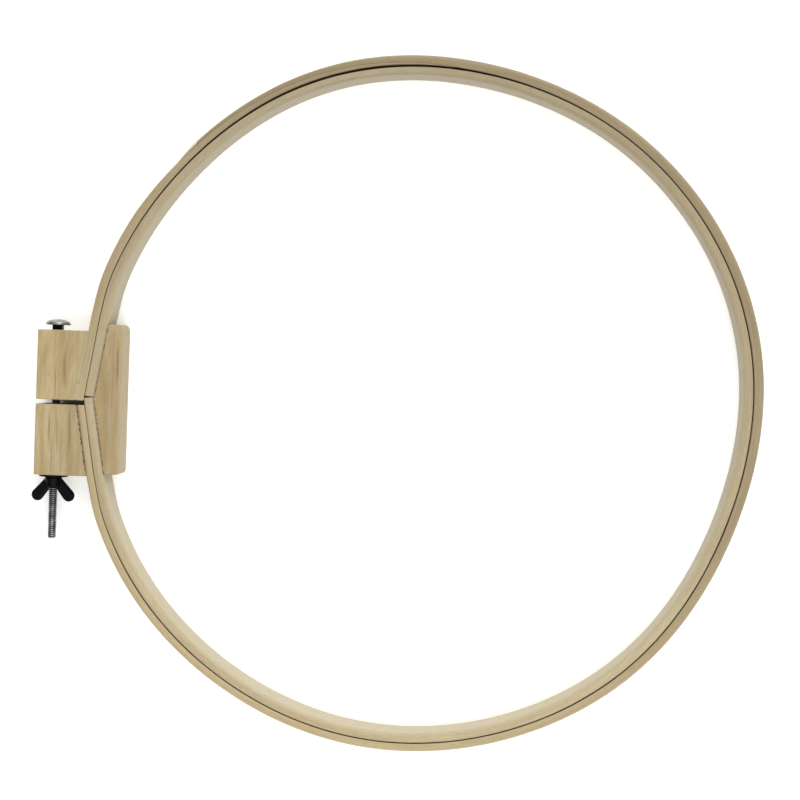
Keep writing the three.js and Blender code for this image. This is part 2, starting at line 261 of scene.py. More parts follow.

# the grain's noise frequencies per mm: across, along and in height
DRIFT = (0.02, 0.012, 0.02)
GROWTH_BANDS = (0.55, 0.012, 0.55)
FIBRES = (4.5, 0.16, 4.5)
SPECKS = (2.6, 1.1, 2.6)
PORES = (3.2, 0.28, 3.2)
GLUE_DASHES, GLUE_LUMPS = (0.3, 0.75, 0.02), (3.0, 2.0, 3.0)

# how strongly each shows in the wood's colour
FACE_SHARE, FIBRE_SHARE, SPECK_SHARE, PORE_SHARE, PAINTED_SHEEN_SHARE = 0.5, 0.55, 0.40, 0.30, 0.35

STREAK_WANDER, STREAK_FADE = 1.2, 4     # in mm: a streak's straying sideways, and the fade at its ends


def brown_streaks(n, colour, streak, streaks, grain, stretch, fibres):
    """Single streaks along the grain, broken up by the fibres: x, half width, from y, to y, share."""
    drift = n.noise(n.scaled(stretch, DRIFT), detail=2.0)
    position = n.add("ShaderNodeSeparateXYZ", {0: grain}).outputs
    bent_x = n.math("ADD", position[0], n.span(drift, 0.3, 0.7, -STREAK_WANDER, STREAK_WANDER))
    for x, half_width, low, high, share in streaks:
        from_middle = n.math("ABSOLUTE", n.math("SUBTRACT", bent_x, x))
        inside = n.span(from_middle, half_width, half_width * 0.25)
        above = n.span(position[1], low - STREAK_FADE, low + STREAK_FADE)
        below = n.span(position[1], high + STREAK_FADE, high - STREAK_FADE)
        window = n.math("MULTIPLY", above, below)
        broken = n.math("MULTIPLY", inside, n.span(fibres, 0.3, 0.62))
        colour = n.mix(n.math("MULTIPLY", n.math("MULTIPLY", broken, window), share), colour, streak)
    return colour


def painted_light_across(n, colour, light_gradient):
    """Painted light: the wood brightens and darkens slowly across the hoop, standing in for light that falls
    off.

    The gradient holds a heading in degrees, where the change starts and ends in metres, and the brightness
    at each.
    """
    heading, start, end, first, last = light_gradient
    where = n.add("ShaderNodeTexCoord").outputs["Object"]
    inputs = {0: where, 1: tuple(polar(1, heading).to_3d())}
    towards = n.add("ShaderNodeVectorMath", inputs, operation="DOT_PRODUCT").outputs["Value"]
    return n.mix(1.0, colour, n.tint(n.span(towards, start, end), 0.0, 1.0, first, last), "MULTIPLY")


def wood(name, pale, deep, face, streak, light_gradient, offset=(0, 0, 0), ring_share=0.2, mottle=(0.10, 0.008),
         streaks=()):
    """Bare sanded wood. Its grain runs along the second axis of the piece's grain attribute, in mm.

    face is the colour of upright faces, partly the wood's own and partly painted sheen, and mottle holds the
    mottling's frequencies across and along.
    """
    n = Nodes(name)
    grain = n.add("ShaderNodeAttribute", attribute_name="grain").outputs["Vector"]
    stretch = n.scaled(grain, (1, 1, 1), offset)
    across, along = mottle
    broad = n.noise(n.scaled(stretch, (across, along, across)), detail=3.0, distortion=0.4)
    bands = n.noise(n.scaled(stretch, GROWTH_BANDS, (11, 3, 7)), detail=2.0)
    fibres = n.noise(n.scaled(stretch, FIBRES), detail=4.0, roughness=0.65)
    specks = n.noise(n.scaled(stretch, SPECKS, (2, 8, 1)), detail=3.0, roughness=0.7)
    pores = n.span(n.noise(n.scaled(stretch, PORES, (5, 0, 9)), detail=2.0), 0.64, 0.72)
    colour = n.mix(n.span(broad, 0.34, 0.66), pale, deep)
    colour = n.mix(n.span(bands, 0.52, 0.68, 0.0, ring_share), colour, streak)
    colour = brown_streaks(n, colour, streak, streaks, grain, stretch, fibres)
    normal = n.add("ShaderNodeNewGeometry").outputs["Normal"]
    flatness = n.math("ABSOLUTE", n.add("ShaderNodeSeparateXYZ", {0: normal}).outputs[2])
    # upright faces turn paler: partly the wood's own face, partly painted sheen of light grazing them
    colour = n.mix(n.span(flatness, 0.92, 0.10), colour, n.mix(FACE_SHARE, face, colour))
    colour = n.mix(FIBRE_SHARE, colour, n.tint(fibres, 0.30, 0.70, 0.74, 1.22), "MULTIPLY")
    colour = n.mix(SPECK_SHARE, colour, n.tint(specks, 0.34, 0.66, 0.80, 1.16), "MULTIPLY")
    colour = n.mix(n.math("MULTIPLY", pores, PORE_SHARE), colour, tuple(c * 0.5 for c in streak))
    # painted sheen: rounded edges and upright faces are lightened in patches
    painted_sheen = n.math("MULTIPLY", n.span(flatness, 0.985, 0.80), n.span(broad, 0.45, 0.65))
    colour = n.mix(n.math("MULTIPLY", painted_sheen, PAINTED_SHEEN_SHARE), colour, tuple(c * 1.2 for c in pale))
    # painted light: the wood is made brighter towards one side of the hoop
    colour = painted_light_across(n, colour, light_gradient)
    # painted shade: faces that look into the gap between the rings are darkened brown
    shade = n.add("ShaderNodeAttribute", attribute_name="shade").outputs["Fac"]
    colour = n.mix(n.math("MULTIPLY", shade, GAP_SHADE_SHARE), colour, GAP_SHADE_BROWN)
    n.link(colour, n.shader.inputs["Base Color"])
    n.link(n.span(fibres, 0.3, 0.7, 0.68, 0.52), n.shader.inputs["Roughness"])
    relief = n.math("SUBTRACT", fibres, n.math("MULTIPLY", pores, 0.6))
    n.link(n.bump(relief, 0.30, RELIEF), n.shader.inputs["Normal"])
    n.shader.inputs["Specular IOR Level"].default_value = 0.3
    return n.material


def glue(name, pale, dark, shade_share):
    """Dried glue in a seam, broken by gaps filled with painted shade."""
    n = Nodes(name)
    grain = n.add("ShaderNodeAttribute", attribute_name="grain").outputs["Vector"]
    dashes = n.noise(n.scaled(grain, GLUE_DASHES), detail=3.0, roughness=0.7)
    lumps = n.noise(n.scaled(grain, GLUE_LUMPS), detail=2.0)
    shaded_gaps = n.span(dashes, 0.58 - 0.3 * shade_share, 0.66 - 0.3 * shade_share)
    # painted shade: the dark colour fills the gaps in the glue
    colour = n.mix(shaded_gaps, pale, dark)
    colour = n.mix(0.4, colour, n.tint(lumps, 0.3, 0.7, 0.7, 1.1), "MULTIPLY")
    n.link(colour, n.shader.inputs["Base Color"])
    n.link(n.span(lumps, 0.3, 0.7, 0.4, 0.7), n.shader.inputs["Roughness"])
    n.link(n.bump(lumps, 0.5, RELIEF), n.shader.inputs["Normal"])
    return n.material


PLATING_PATCHES, PLATING_GRIT = 320.0, 2900.0       # noise frequencies per metre
GRIT_RELIEF = 0.00005


def metal(name, light, dark, roughness, metallic, specular=0.5, groove_shade=None):
    """Plated steel with uneven plating and fine scuffs, and painted shade in its grooves."""
    n = Nodes(name)
    where = n.add("ShaderNodeTexCoord").outputs["Object"]
    patches = n.noise(where, PLATING_PATCHES, 4.0, 0.6)
    grit = n.noise(where, PLATING_GRIT, 3.0, 0.6)
    colour = n.mix(n.span(patches, 0.35, 0.68), light, dark)
    if groove_shade:
        depth = n.add("ShaderNodeAttribute", attribute_name="groove_shade").outputs["Fac"]
        # painted shade: the thread's grooves are darkened by their depth
        colour = n.mix(n.span(depth, 0.15, 0.75), colour, groove_shade)
    n.link(colour, n.shader.inputs["Base Color"])
    n.shader.inputs["Metallic"].default_value = metallic
    n.shader.inputs["Specular IOR Level"].default_value = specular
    low, high = roughness
    n.link(n.span(grit, 0.3, 0.7, low, high), n.shader.inputs["Roughness"])
    n.link(n.bump(grit, 0.25, GRIT_RELIEF), n.shader.inputs["Normal"])
    return n.material


# ---- meshes ----

def make_piece(name, points, faces, material, body, node, grain=None, shade=None, sharp=35):
    """A smooth closed mesh from points in mm. It rides on a body and stands for a CAD node."""
    mesh = bpy.data.meshes.new(name)
    mesh.from_pydata([place(*p) for p in points], [], faces)
    if grain is not None:
        attribute = mesh.attributes.new("grain", "FLOAT_VECTOR", "POINT")
        attribute.data.foreach_set("vector", np.asarray(grain, np.float32).ravel())
    if shade is not None:
        attribute = mesh.attributes.new("shade", "FLOAT", "POINT")
        attribute.data.foreach_set("value", np.asarray(shade, np.float32))
    piece = bpy.data.objects.new(name, mesh)
    bpy.context.scene.collection.objects.link(piece)
    finish_mesh(piece, material, sharp)
    assign(piece, body, node)
    return piece


def finish_mesh(piece, material, sharp=35):
    bm = bmesh.new()
    bm.from_mesh(piece.data)
    bmesh.ops.recalc_face_normals(bm, faces=bm.faces)
    for edge in bm.edges:
        edge.smooth = not edge.is_manifold or edge.calc_face_angle(0) < math.radians(sharp)
    for face in bm.faces:
        face.smooth = True
    bm.to_mesh(piece.data)
    bm.free()
    piece.data.materials.clear()
    piece.data.materials.append(material)


def assign(piece, body, node):
    if isinstance(body, str):
        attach(piece, body)
    if node:
        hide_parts(node)


def loft_faces(count, size):
    """Quads between rings of points, with a single face as the cap at each end."""
    faces = []
    for i in range(count - 1):
        here, there = i * size, (i + 1) * size
        for k in range(size):
            m = (k + 1) % size
            faces.append((here + k, here + m, there + m, there + k))
    faces.append(tuple(reversed(range(size))))
    faces.append(tuple((count - 1) * size + k for k in range(size)))
    return faces


# ---- the rings' plan curve ----

def wavy_radius(angle):
    return GAP_RADIUS + sum(h * math.cos(math.radians(n * (angle - crest))) for n, h, crest in WAVES)


def straight_radius(angle):
    """Radius of the straight ends above and below the corner at the clamp: lines, in polar form."""
    side = 1 if angle < CORNER_ANGLE else -1
    distance = -CORNER[0] * math.cos(END_SLOPE) + side * CORNER[1] * math.sin(END_SLOPE)
    return distance / math.cos(math.radians(angle - 180) + side * END_SLOPE)


def smooth(value, low, high):
    t = min(max((value - low) / (high - low), 0), 1)
    return t * t * (3 - 2 * t)


def mixed(a, b, t):
    return a + (b - a) * t


def gap_radius(angle):
    turned = angle % 360
    away = abs(turned - CORNER_ANGLE)
    wavy = wavy_radius(turned)
    if away > END_REACH:
        return wavy
    straight = straight_radius(turned)
    fillet = FILLET_SIZE * smooth(away, FILLET_FROM, FILLET_TO)
    if fillet == 0:
        return straight
    closeness = max(1 - abs(straight - wavy) / fillet, 0)
    return min(straight, wavy) - closeness * closeness * fillet / 4


def polar(radius, angle):
    turn = math.radians(angle)
    return Vector((radius * math.cos(turn), radius * math.sin(turn)))


def angle_at_y(radius_at, y):
    """The angle where a face near the clamp crosses a given y."""
    angle = 180
    for _ in range(8):
        angle = 180 - math.degrees(math.asin(y / radius_at(angle)))
    return angle


# ---- the rings' faces ----

CLAMPED_GAP, CLOSE_GAP, WIDE_GAP = 0.13, 0.45, 1.15    # the gap at the clamp, all round, and at the top
WIDE_GAP_ANGLE, WIDE_GAP_SPREAD = 102, 50
FEATHER_START = 84


def inner_inside(angle):
    return gap_radius(angle) - RING_GAP / 2 - INNER_THICKNESS


def inner_outside(angle):
    turned = angle % 360
    close = mixed(CLAMPED_GAP, CLOSE_GAP, smooth(abs(turned - CORNER_ANGLE), 12, 40))
    gap = mixed(WIDE_GAP, close, smooth(abs(turned - WIDE_GAP_ANGLE), 0, WIDE_GAP_SPREAD))
    return outer_inside(angle) - gap


def outer_inside(angle):
    return gap_radius(angle) + RING_GAP / 2


def outer_thickness(angle):
    return OUTER_THICKNESS + OUTER_THICKENING * math.cos(math.radians(angle - THICK_ANGLE))


def outer_outside(angle):
    return outer_inside(angle) + outer_thickness(angle)


def end_strip_thickness(angle):
    """Full at the clamp, less under the lap, down to a feather at its far end."""
    full = outer_thickness(angle)
    shoulder = (LAP_SHOULDER - angle) / (LAP_SHOULDER - LAP_OUTER_END)
    if shoulder < 1:
        return full - LAP_STEP * max(shoulder, 0)
    if angle < LAP_INNER_END:
        return LAP_TIP * max(angle - FEATHER_START, 0) / (LAP_INNER_END - FEATHER_START)
    return mixed(full - LAP_STEP, LAP_TIP, (LAP_OUTER_END - angle) / (LAP_OUTER_END - LAP_INNER_END))


def end_strip_outside(angle):
    return outer_inside(angle) + end_strip_thickness(angle)


def long_strip_inside(angle):
    if angle < FEATHER_START:
        return outer_inside(angle)
    return end_strip_outside(angle)


# ---- lofts: a rounded section carried along between two faces ----

CORNER_STEPS = 5
END_ROUNDING = 0.45
END_STATIONS = (0.0, 0.08, 0.2, 0.45)


def section(width, low, high, corners, inset):
    """(across, z) points round a rectangle with near and far corner radii, drawn in by inset all round."""
    left, right, low, high = inset, width - inset, low + inset, high - inset
    near, far = (min(corner, 0.46 * (right - left)) for corner in corners)
    centres = ((right - far, low + far, -90, far), (right - far, high - far, 0, far),
               (left + near, high - near, 90, near), (left + near, low + near, 180, near))
    points = []
    for across, z, start, radius in centres:
        for step in range(CORNER_STEPS + 1):
            turn = math.radians(start + 90 * step / CORNER_STEPS)
            points.append((across + radius * math.cos(turn), z + radius * math.sin(turn)))
    return points


def wander(seed, along, rate):
    """Smooth noise from 0 to 1 along a length in mm."""
    return 0.5 + 0.5 * noise.noise(Vector((along * rate, seed * 7.3, 0.4)))


def rounding(distance, radius):
    """How far a rounded corner has drawn in at a distance from the end it rounds off."""
    short = max(radius - distance, 0)
    return radius - math.sqrt(radius * radius - short * short)


def loft(faces_at, length, step, corners, seed, wobble=0.12, top_loss=0.25, round_start=True, top=DEPTH,
         fall=0, bottom=0, near_corner=None):
    """Points, quads and grain of a bar. faces_at(t) gives the bar's two plan points, t from 0 to 1.

    corners are its near and far corner radii, and near_corner(t) may vary the near one. The bar fills the
    height from bottom to top, and its top edge falls by fall along the bar.
    """
    inner = np.arange(step, length - step / 2, step)
    stations = [*END_STATIONS, *inner, *(length - s for s in reversed(END_STATIONS))]
    points, grain = [], []
    for along in stations:
        near, far = faces_at(along / length)
        across = far - near
        width = across.length
        across = across / width
        from_end = min(along, length - along) if round_start else length - along
        inset = rounding(from_end, END_ROUNDING)
        loss_near = wobble * wander(seed, along, 0.05)
        loss_far = wobble * wander(seed + 1, along, 0.05)
        high = top - fall * along / length - top_loss * wander(seed + 2, along, 0.03)
        low = bottom + top_loss * 0.3 * wander(seed + 3, along, 0.03)
        if near_corner:
            corners = (near_corner(along / length), corners[1])
        for u, z in section(width - loss_near - loss_far, low, high, corners, inset):
            at = near + across * (u + loss_near)
            points.append((at.x, at.y, z))
            grain.append((u + seed * 31, along + seed * 53, z))
    size = 4 * (CORNER_STEPS + 1)
    return points, loft_faces(len(stations), size), grain


def strip(inside, outside, from_angles, to_angles, corners, seed, step=1.6, **ends):
    """A bent strip between two faces. The angles are a pair, for the inside and the outside face."""
    def faces_at(t):
        in_angle = mixed(from_angles[0], to_angles[0], t)
        out_angle = mixed(from_angles[1], to_angles[1], t)
        return polar(inside(in_angle), in_angle), polar(outside(out_angle), out_angle)
    length = math.radians(abs(to_angles[0] - from_angles[0])) * GAP_RADIUS
    return loft(faces_at, length, step, corners, seed, **ends)


# ---- rings ----

BUTT_SLIT = (0.12, 1.1)     # width of the slit between the inner ring's ends, inside and outside
STRIP_BEND = (place(192, 0, 0), place(-60, 0, 0))   # the arms bend between these
STRIP_TOP_LOSS = 0.08       # how much of its height an outer strip's top edge loses to unevenness
SOFT_EDGE, GAP_EDGE, LAP_EDGE = 2.2, 0.7, 0.06      # corner radii of the strips
NEAR, FAR = 0, 1            # which face of a strip looks into the gap
THIN_END = FEATHER_START + 1.5
SPLINTER_END, SPLINTER_THICK, SPLINTER_THIN = 137.3, 1.35, 0.2
SPLINTER_LOW, SPLINTER_DROP, SPLINTER_FALL, SPLINTER_GAP = 18, 0.4, 4, 0.4


def gap_shade(points, side):
    """Mask of the painted shade in the gap: 1 on the upright face that looks into the gap, and 0 elsewhere.
    """
    size, corner = 4 * (CORNER_STEPS + 1), CORNER_STEPS + 1
    upright = {NEAR: (2 * corner + CORNER_STEPS, 3 * corner), FAR: (CORNER_STEPS, corner)}[side]
    return [1.0 if i % size in upright else 0.0 for i in range(len(points))]


def make_inner_ring(material):
    faces = (inner_inside, inner_outside)
    below = [angle_at_y(face, BUTT_Y - slit / 2) for face, slit in zip(faces, BUTT_SLIT)]
    above = [angle_at_y(face, BUTT_Y + slit / 2) + 360 for face, slit in zip(faces, BUTT_SLIT)]
    points, quads, grain = strip(*faces, below, above, (SOFT_EDGE, GAP_EDGE), seed=1)
    make_piece("inner_ring_wood", points, quads, material, "inner_hoop", "inner_ring", grain,
               gap_shade(points, FAR))


def lap_corner(t):
    """The long strip's inner corner radius: sharp where it lies on the end strip."""
    return mixed(GAP_EDGE, LAP_EDGE, smooth(t * LAP_OUTER_END, FEATHER_START - 2, FEATHER_START + 2))


def add_outer_strip(name, shape, material, node, arm):
    """A strip of the outer ring, which bends from the ring's back segment into one arm."""
    points, quads, grain = shape
    piece = make_piece(name, points, quads, material, None, node, grain, gap_shade(points, NEAR))
    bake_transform(piece, "outer_back", arm, *STRIP_BEND)
    return piece


def make_outer_strips(material):
    at_clamp = [angle_at_y(face, UPPER_BLOCK[0]) for face in (outer_inside, end_strip_outside)]
    shape = strip(outer_inside, end_strip_outside, (THIN_END, THIN_END), at_clamp, (GAP_EDGE, LAP_EDGE),
                  seed=2, top_loss=STRIP_TOP_LOSS)
    add_outer_strip("outer_end_wood", shape, material, "outer_strip_end", "outer_upper")
    shape = strip(long_strip_inside, outer_outside, (0, 0), (LAP_OUTER_END, LAP_OUTER_END),
                  (GAP_EDGE, SOFT_EDGE), seed=3, top_loss=STRIP_TOP_LOSS, round_start=False,
                  near_corner=lap_corner)
    upper = add_outer_strip("outer_upper_wood", shape, material, "outer_strip_upper", "outer_upper")
    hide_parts("outer_strip_back")
    at_clamp = [angle_at_y(face, LOWER_BLOCK[1]) for face in (outer_inside, outer_outside)]
    shape = strip(outer_inside, outer_outside, (360, 360), at_clamp, (GAP_EDGE, SOFT_EDGE), seed=3,
                  top_loss=STRIP_TOP_LOSS, round_start=False)
    add_outer_strip("outer_lower_wood", shape, material, "outer_strip_lower", "outer_lower")


def splinter_inside(angle):
    return end_strip_outside(angle) + SPLINTER_GAP


def splinter_outside(angle):
    along = (angle - LAP_OUTER_END) / (SPLINTER_END - LAP_OUTER_END)
    return splinter_inside(angle) + mixed(SPLINTER_THICK, SPLINTER_THIN, along)


def make_splinter(material):
    """The pale splinter that stands on the end strip where the long strip's lapped end is broken off. Its
    paleness is painted highlight.
    """
    ends = (LAP_OUTER_END, LAP_OUTER_END), (SPLINTER_END, SPLINTER_END)
    points, quads, grain = strip(
        splinter_inside, splinter_outside, *ends, (LAP_EDGE, LAP_EDGE), seed=5, wobble=0.03,
        top=DEPTH - SPLINTER_DROP, fall=SPLINTER_FALL, bottom=SPLINTER_LOW)
    make_piece("lap_splinter", points, quads, material, "outer_upper", None, grain)


# ---- blocks ----

BLOCK_EDGE, SEAT_EDGE = 0.95, 0.3       # radii of the long edges, away from the strip and at it
BLOCK_WOBBLE, BLOCK_TOP_LOSS = 0.08, 0.12
INNER_CORNER, INNER_FOOT, INNER_EDGE = 3.2, 1.6, 1.9    # the inner block's upper and lower corner, and edge
RECESS_WIDTH, RECESS_BOTTOM = 6.3, 31   # the square recess for the bolt's neck
CUT_PAST = 1
SEAT_GAP = 0.3
GLUE_HALF_WIDTH, GLUE_SHORT, GLUE_WOBBLE, GLUE_EDGE = 0.36, 0.2, 0.25, 0.1
GLUE_FULL, GLUE_SUNK = 0.06, 0.3        # how far a seam's glue lies below the wood's top face


def block_cutter(radius, low, high):
    bpy.ops.mesh.primitive_cylinder_add(
        vertices=40, radius=radius * MM, depth=(high - low) * MM,
        location=place(BOLT_X, (low + high) / 2, BOLT_Z), rotation=(math.radians(90), 0, 0))
    return bpy.context.object


def square_cutter(width, low, high):
    bpy.ops.mesh.primitive_cube_add(size=1, location=place(BOLT_X, (low + high) / 2, BOLT_Z))
    cutter = bpy.context.object
    cutter.scale = (width * MM, (high - low) * MM, width * MM)
    return cutter


def bake_modifiers(piece):
    """Replace the piece's mesh by what its modifiers make of it."""
    graph = bpy.context.evaluated_depsgraph_get()
    made = bpy.data.meshes.new_from_object(piece.evaluated_get(graph))
    piece.modifiers.clear()
    piece.data = made


def carve(piece, cutters):
    for cutter in cutters:
        modifier = piece.modifiers.new("cut", "BOOLEAN")
        modifier.operation = "DIFFERENCE"
        modifier.object = cutter
    bpy.context.view_layer.update()
    bake_modifiers(piece)
    for cutter in cutters:
        bpy.data.objects.remove(cutter)


def grain_from_position(piece):
    """Grain along y for a straight block, in mm from the rings' centre."""
    attributes = piece.data.attributes
    attribute = attributes.get("grain") or attributes.new("grain", "FLOAT_VECTOR", "POINT")
    values = [(v.co - ORIGIN) / MM for v in piece.data.vertices]
    attribute.data.foreach_set("vector", np.asarray(values, np.float32).ravel())


def bar(low, high, near, far, corners, seed, **more):
    """A bar along y between two plan faces, each given as x at a y."""
    def faces_at(t):
        y = mixed(low, high, t)
        return Vector((near(y), y)), Vector((far(y), y))
    points, quads, _ = loft(faces_at, high - low, 1.2, corners, seed, **more)
    return points, quads


def make_block(name, span, near, far, material, body, node, seed, edge=BLOCK_EDGE, cutters=()):
    points, quads = bar(*span, near, far, (SEAT_EDGE, edge), seed, wobble=BLOCK_WOBBLE,
                        top_loss=BLOCK_TOP_LOSS)
    piece = make_piece(name, points, quads, material, None, None)
    if cutters:
        carve(piece, cutters)
        finish_mesh(piece, material)
    grain_from_position(piece)
    assign(piece, body, node)


def make_seam(name, span, seat, material, body, seed, below):
    """The glue between a block and its strip."""
    low, high = span

    def near(y):
        return seat(y) - GLUE_HALF_WIDTH

    def far(y):
        return seat(y) + GLUE_HALF_WIDTH
    points, quads = bar(low + GLUE_SHORT, high - GLUE_SHORT, near, far, (GLUE_EDGE, GLUE_EDGE), seed,
                        wobble=GLUE_WOBBLE, top_loss=below, top=DEPTH - below)
    piece = make_piece(name, points, quads, material, None, None)
    grain_from_position(piece)
    assign(piece, body, None)


def face_x(face, gap):
    """A strip's face near the clamp as x at a y, moved away from the rings' centre by a gap."""
    def x_at(y):
        angle = angle_at_y(face, y)
        return (face(angle) + gap) * math.cos(math.radians(angle))
    return x_at


def block_left(y):
    return BLOCK_LEFT


def inner_block_right(y):
    low, high = INNER_BLOCK
    return INNER_BLOCK_RIGHT - rounding(high - y, INNER_CORNER) - rounding(y - low, INNER_FOOT)


def bore(span):
    low, high = span
    return block_cutter(BORE_RADIUS, low - CUT_PAST, high + CUT_PAST)


def make_blocks(upper_wood, lower_wood, inner_wood):
    outer_seat, inner_seat = face_x(outer_outside, SEAT_GAP), face_x(inner_inside, -SEAT_GAP)
    recess = square_cutter(RECESS_WIDTH, RECESS_BOTTOM, UPPER_BLOCK[1] + CUT_PAST)
    make_block("upper_block_wood", UPPER_BLOCK, outer_seat, block_left, upper_wood, "outer_upper",
               "outer_block_upper", 11, cutters=[bore(UPPER_BLOCK), recess])
    make_block("lower_block_wood", LOWER_BLOCK, outer_seat, block_left, lower_wood, "outer_lower",
               "outer_block_lower", 13, cutters=[bore(LOWER_BLOCK)])
    make_block("inner_block_wood", INNER_BLOCK, inner_seat, inner_block_right, inner_wood, "inner_hoop",
               "inner_block", 17, INNER_EDGE)


def make_seams(pale_glue, gap_shaded_glue):
    outer_seam, inner_seam = face_x(outer_outside, SEAT_GAP / 2), face_x(inner_inside, -SEAT_GAP / 2)
    make_seam("upper_block_glue", UPPER_BLOCK, outer_seam, pale_glue, "outer_upper", 21, GLUE_FULL)
    make_seam("lower_block_glue", LOWER_BLOCK, outer_seam, gap_shaded_glue, "outer_lower", 23, GLUE_SUNK)
    make_seam("inner_block_glue", INNER_BLOCK, inner_seam, gap_shaded_glue, "inner_hoop", 27, GLUE_SUNK)


# ---- bolt, washer, nut and brads ----

def lathe(profile, sides):
    """Points and faces of (radius, y) pairs turned about the bolt's axis. The end radii may be 0."""
    points, faces = [], []
    for radius, y in profile:
        for k in range(sides):
            turn = 2 * math.pi * k / sides
            points.append((BOLT_X + radius * math.cos(turn), y, BOLT_Z + radius * math.sin(turn)))
    for i in range(len(profile) - 1):
        for k in range(sides):
            m = (k + 1) % sides
            faces.append((i * sides + k, i * sides + m, (i + 1) * sides + m, (i + 1) * sides + k))
    return points, faces


WELD_DISTANCE = 0.00001


def weld(piece):
    bm = bmesh.new()
    bm.from_mesh(piece.data)
    bmesh.ops.remove_doubles(bm, verts=bm.verts, dist=WELD_DISTANCE)
    bm.to_mesh(piece.data)
    bm.free()


def make_turned(name, points, faces, material, body, node):
    """A piece whose mesh needs its coinciding points welded before it is smoothed."""
    piece = make_piece(name, points, faces, material, None, None)
    weld(piece)
    finish_mesh(piece, material)
    assign(piece, body, node)
    return piece


THREAD_DEPTH, THREAD_SIDES, THREAD_ROWS = 0.5, 28, 8
THREAD_INTO_NECK, THREAD_SHARP = 0.5, 70
CHAMFER_DEPTH, CHAMFER_SLOPE = 0.85, 1.1
NECK_LENGTH = 4.2


def make_thread(material):
    """The bolt's threaded shank, from its chamfered end up to the square neck."""
    bottom, top = BOLT_END, HEAD_UNDERSIDE - NECK_LENGTH + THREAD_INTO_NECK
    rows = int((top - bottom) / PITCH * THREAD_ROWS)
    points, depths = [], []
    for row in range(rows + 1):
        y = bottom + row * (top - bottom) / rows
        chamfer = BOLT_RADIUS - CHAMFER_DEPTH + (y - bottom) * CHAMFER_SLOPE
        for k in range(THREAD_SIDES):
            phase = (y / PITCH - k / THREAD_SIDES) % 1
            crest = abs(2 * phase - 1)
            depth = smooth(1 - crest, 0.25, 1.0)
            radius = min(BOLT_RADIUS - THREAD_DEPTH * depth, chamfer)
            depths.append(depth)
            turn = 2 * math.pi * k / THREAD_SIDES
            points.append((BOLT_X + radius * math.cos(turn), y, BOLT_Z + radius * math.sin(turn)))
    faces = loft_faces(rows + 1, THREAD_SIDES)
    thread = make_piece("bolt_thread", points, faces, material, "bolt", "carriage_bolt",
                        sharp=THREAD_SHARP)
    attribute = thread.data.attributes.new("groove_shade", "FLOAT", "POINT")
    attribute.data.foreach_set("value", np.asarray(depths, np.float32))


HEAD_RIM, HEAD_SIDES, DOME_STEPS = 0.55, 56, 8
HEAD_LOWER_EDGE = ((0.35, 0), (0.1, 0.1), (0.01, 0.32))     # drawn in by, and up by


def make_head(material):
    profile = [(0, HEAD_UNDERSIDE)]
    profile += [(HEAD_RADIUS - drawn, HEAD_UNDERSIDE + rise) for drawn, rise in HEAD_LOWER_EDGE]
    bulge = HEAD_HEIGHT - HEAD_RIM
    for step in range(DOME_STEPS + 1):
        turn = math.radians(90 * step / DOME_STEPS)
        profile.append((HEAD_RADIUS * math.cos(turn), HEAD_UNDERSIDE + HEAD_RIM + bulge * math.sin(turn)))
    points, faces = lathe(profile, HEAD_SIDES)
    make_turned("bolt_head", points, faces, material, "bolt", "carriage_bolt")


NECK_CORNER = 0.45
# y from the head's underside, and how far each side is drawn in
NECK_TAPER = ((-NECK_LENGTH, 0.6), (-NECK_LENGTH + 0.4, 0.08), (-0.2, 0), (0.4, 0))


def make_neck(material):
    """The square under the head, a little tapered and round-cornered."""
    points = []
    for rise, drawn in NECK_TAPER:
        for across, z in section(NECK - 2 * drawn, drawn, NECK - drawn, (NECK_CORNER, NECK_CORNER), 0):
            points.append((BOLT_X + across - NECK / 2 + drawn, HEAD_UNDERSIDE + rise, BOLT_Z + z - NECK / 2))
    faces = loft_faces(len(NECK_TAPER), 4 * (CORNER_STEPS + 1))
    make_piece("bolt_neck", points, faces, material, "bolt", "carriage_bolt")


WASHER_HOLE, WASHER_EDGE, WASHER_SIDES = 2.7, 0.28, 64


def make_washer(material):
    """A stamped washer: its upper rim is rounded more than its lower one."""
    top, bottom = WASHER_TOP, WASHER_TOP - WASHER_THICKNESS
    hole, rim = WASHER_HOLE, WASHER_RADIUS
    profile = [
        (hole + 0.1, bottom), (rim - WASHER_EDGE, bottom), (rim - 0.06, bottom + 0.12),
        (rim, bottom + WASHER_EDGE), (rim, top - 0.35), (rim - 0.1, top - 0.12), (rim - WASHER_EDGE, top),
        (hole + 0.1, top), (hole, top - 0.1), (hole, bottom + 0.1), (hole + 0.1, bottom)]
    points, faces = lathe(profile, WASHER_SIDES)
    make_turned("washer_steel", points, faces, material, "washer", "washer")


NUT_TOP_RADIUS, NUT_BOTTOM_RADIUS, NUT_HEIGHT = 4.6, 4.2, 5.6
WING_ROOT, WING_TIP = (3.0, -3.1), (8.45, -9.75)
ROOT_RADIUS, TIP_RADIUS = 2.8, 3.3
WING_HALF_THICKNESS, WING_RIM = 1.3, 1.1
WING_ARC_STEPS, RIM_STEP = 16, 15       # points round a wing's end, and degrees between levels of its rim
NUT_SIDES, NUT_SHARP = 64, 50
NUT_CLEARANCE = 0.12
NUT_VOXEL, NUT_SOFTENING = 0.00017, 8


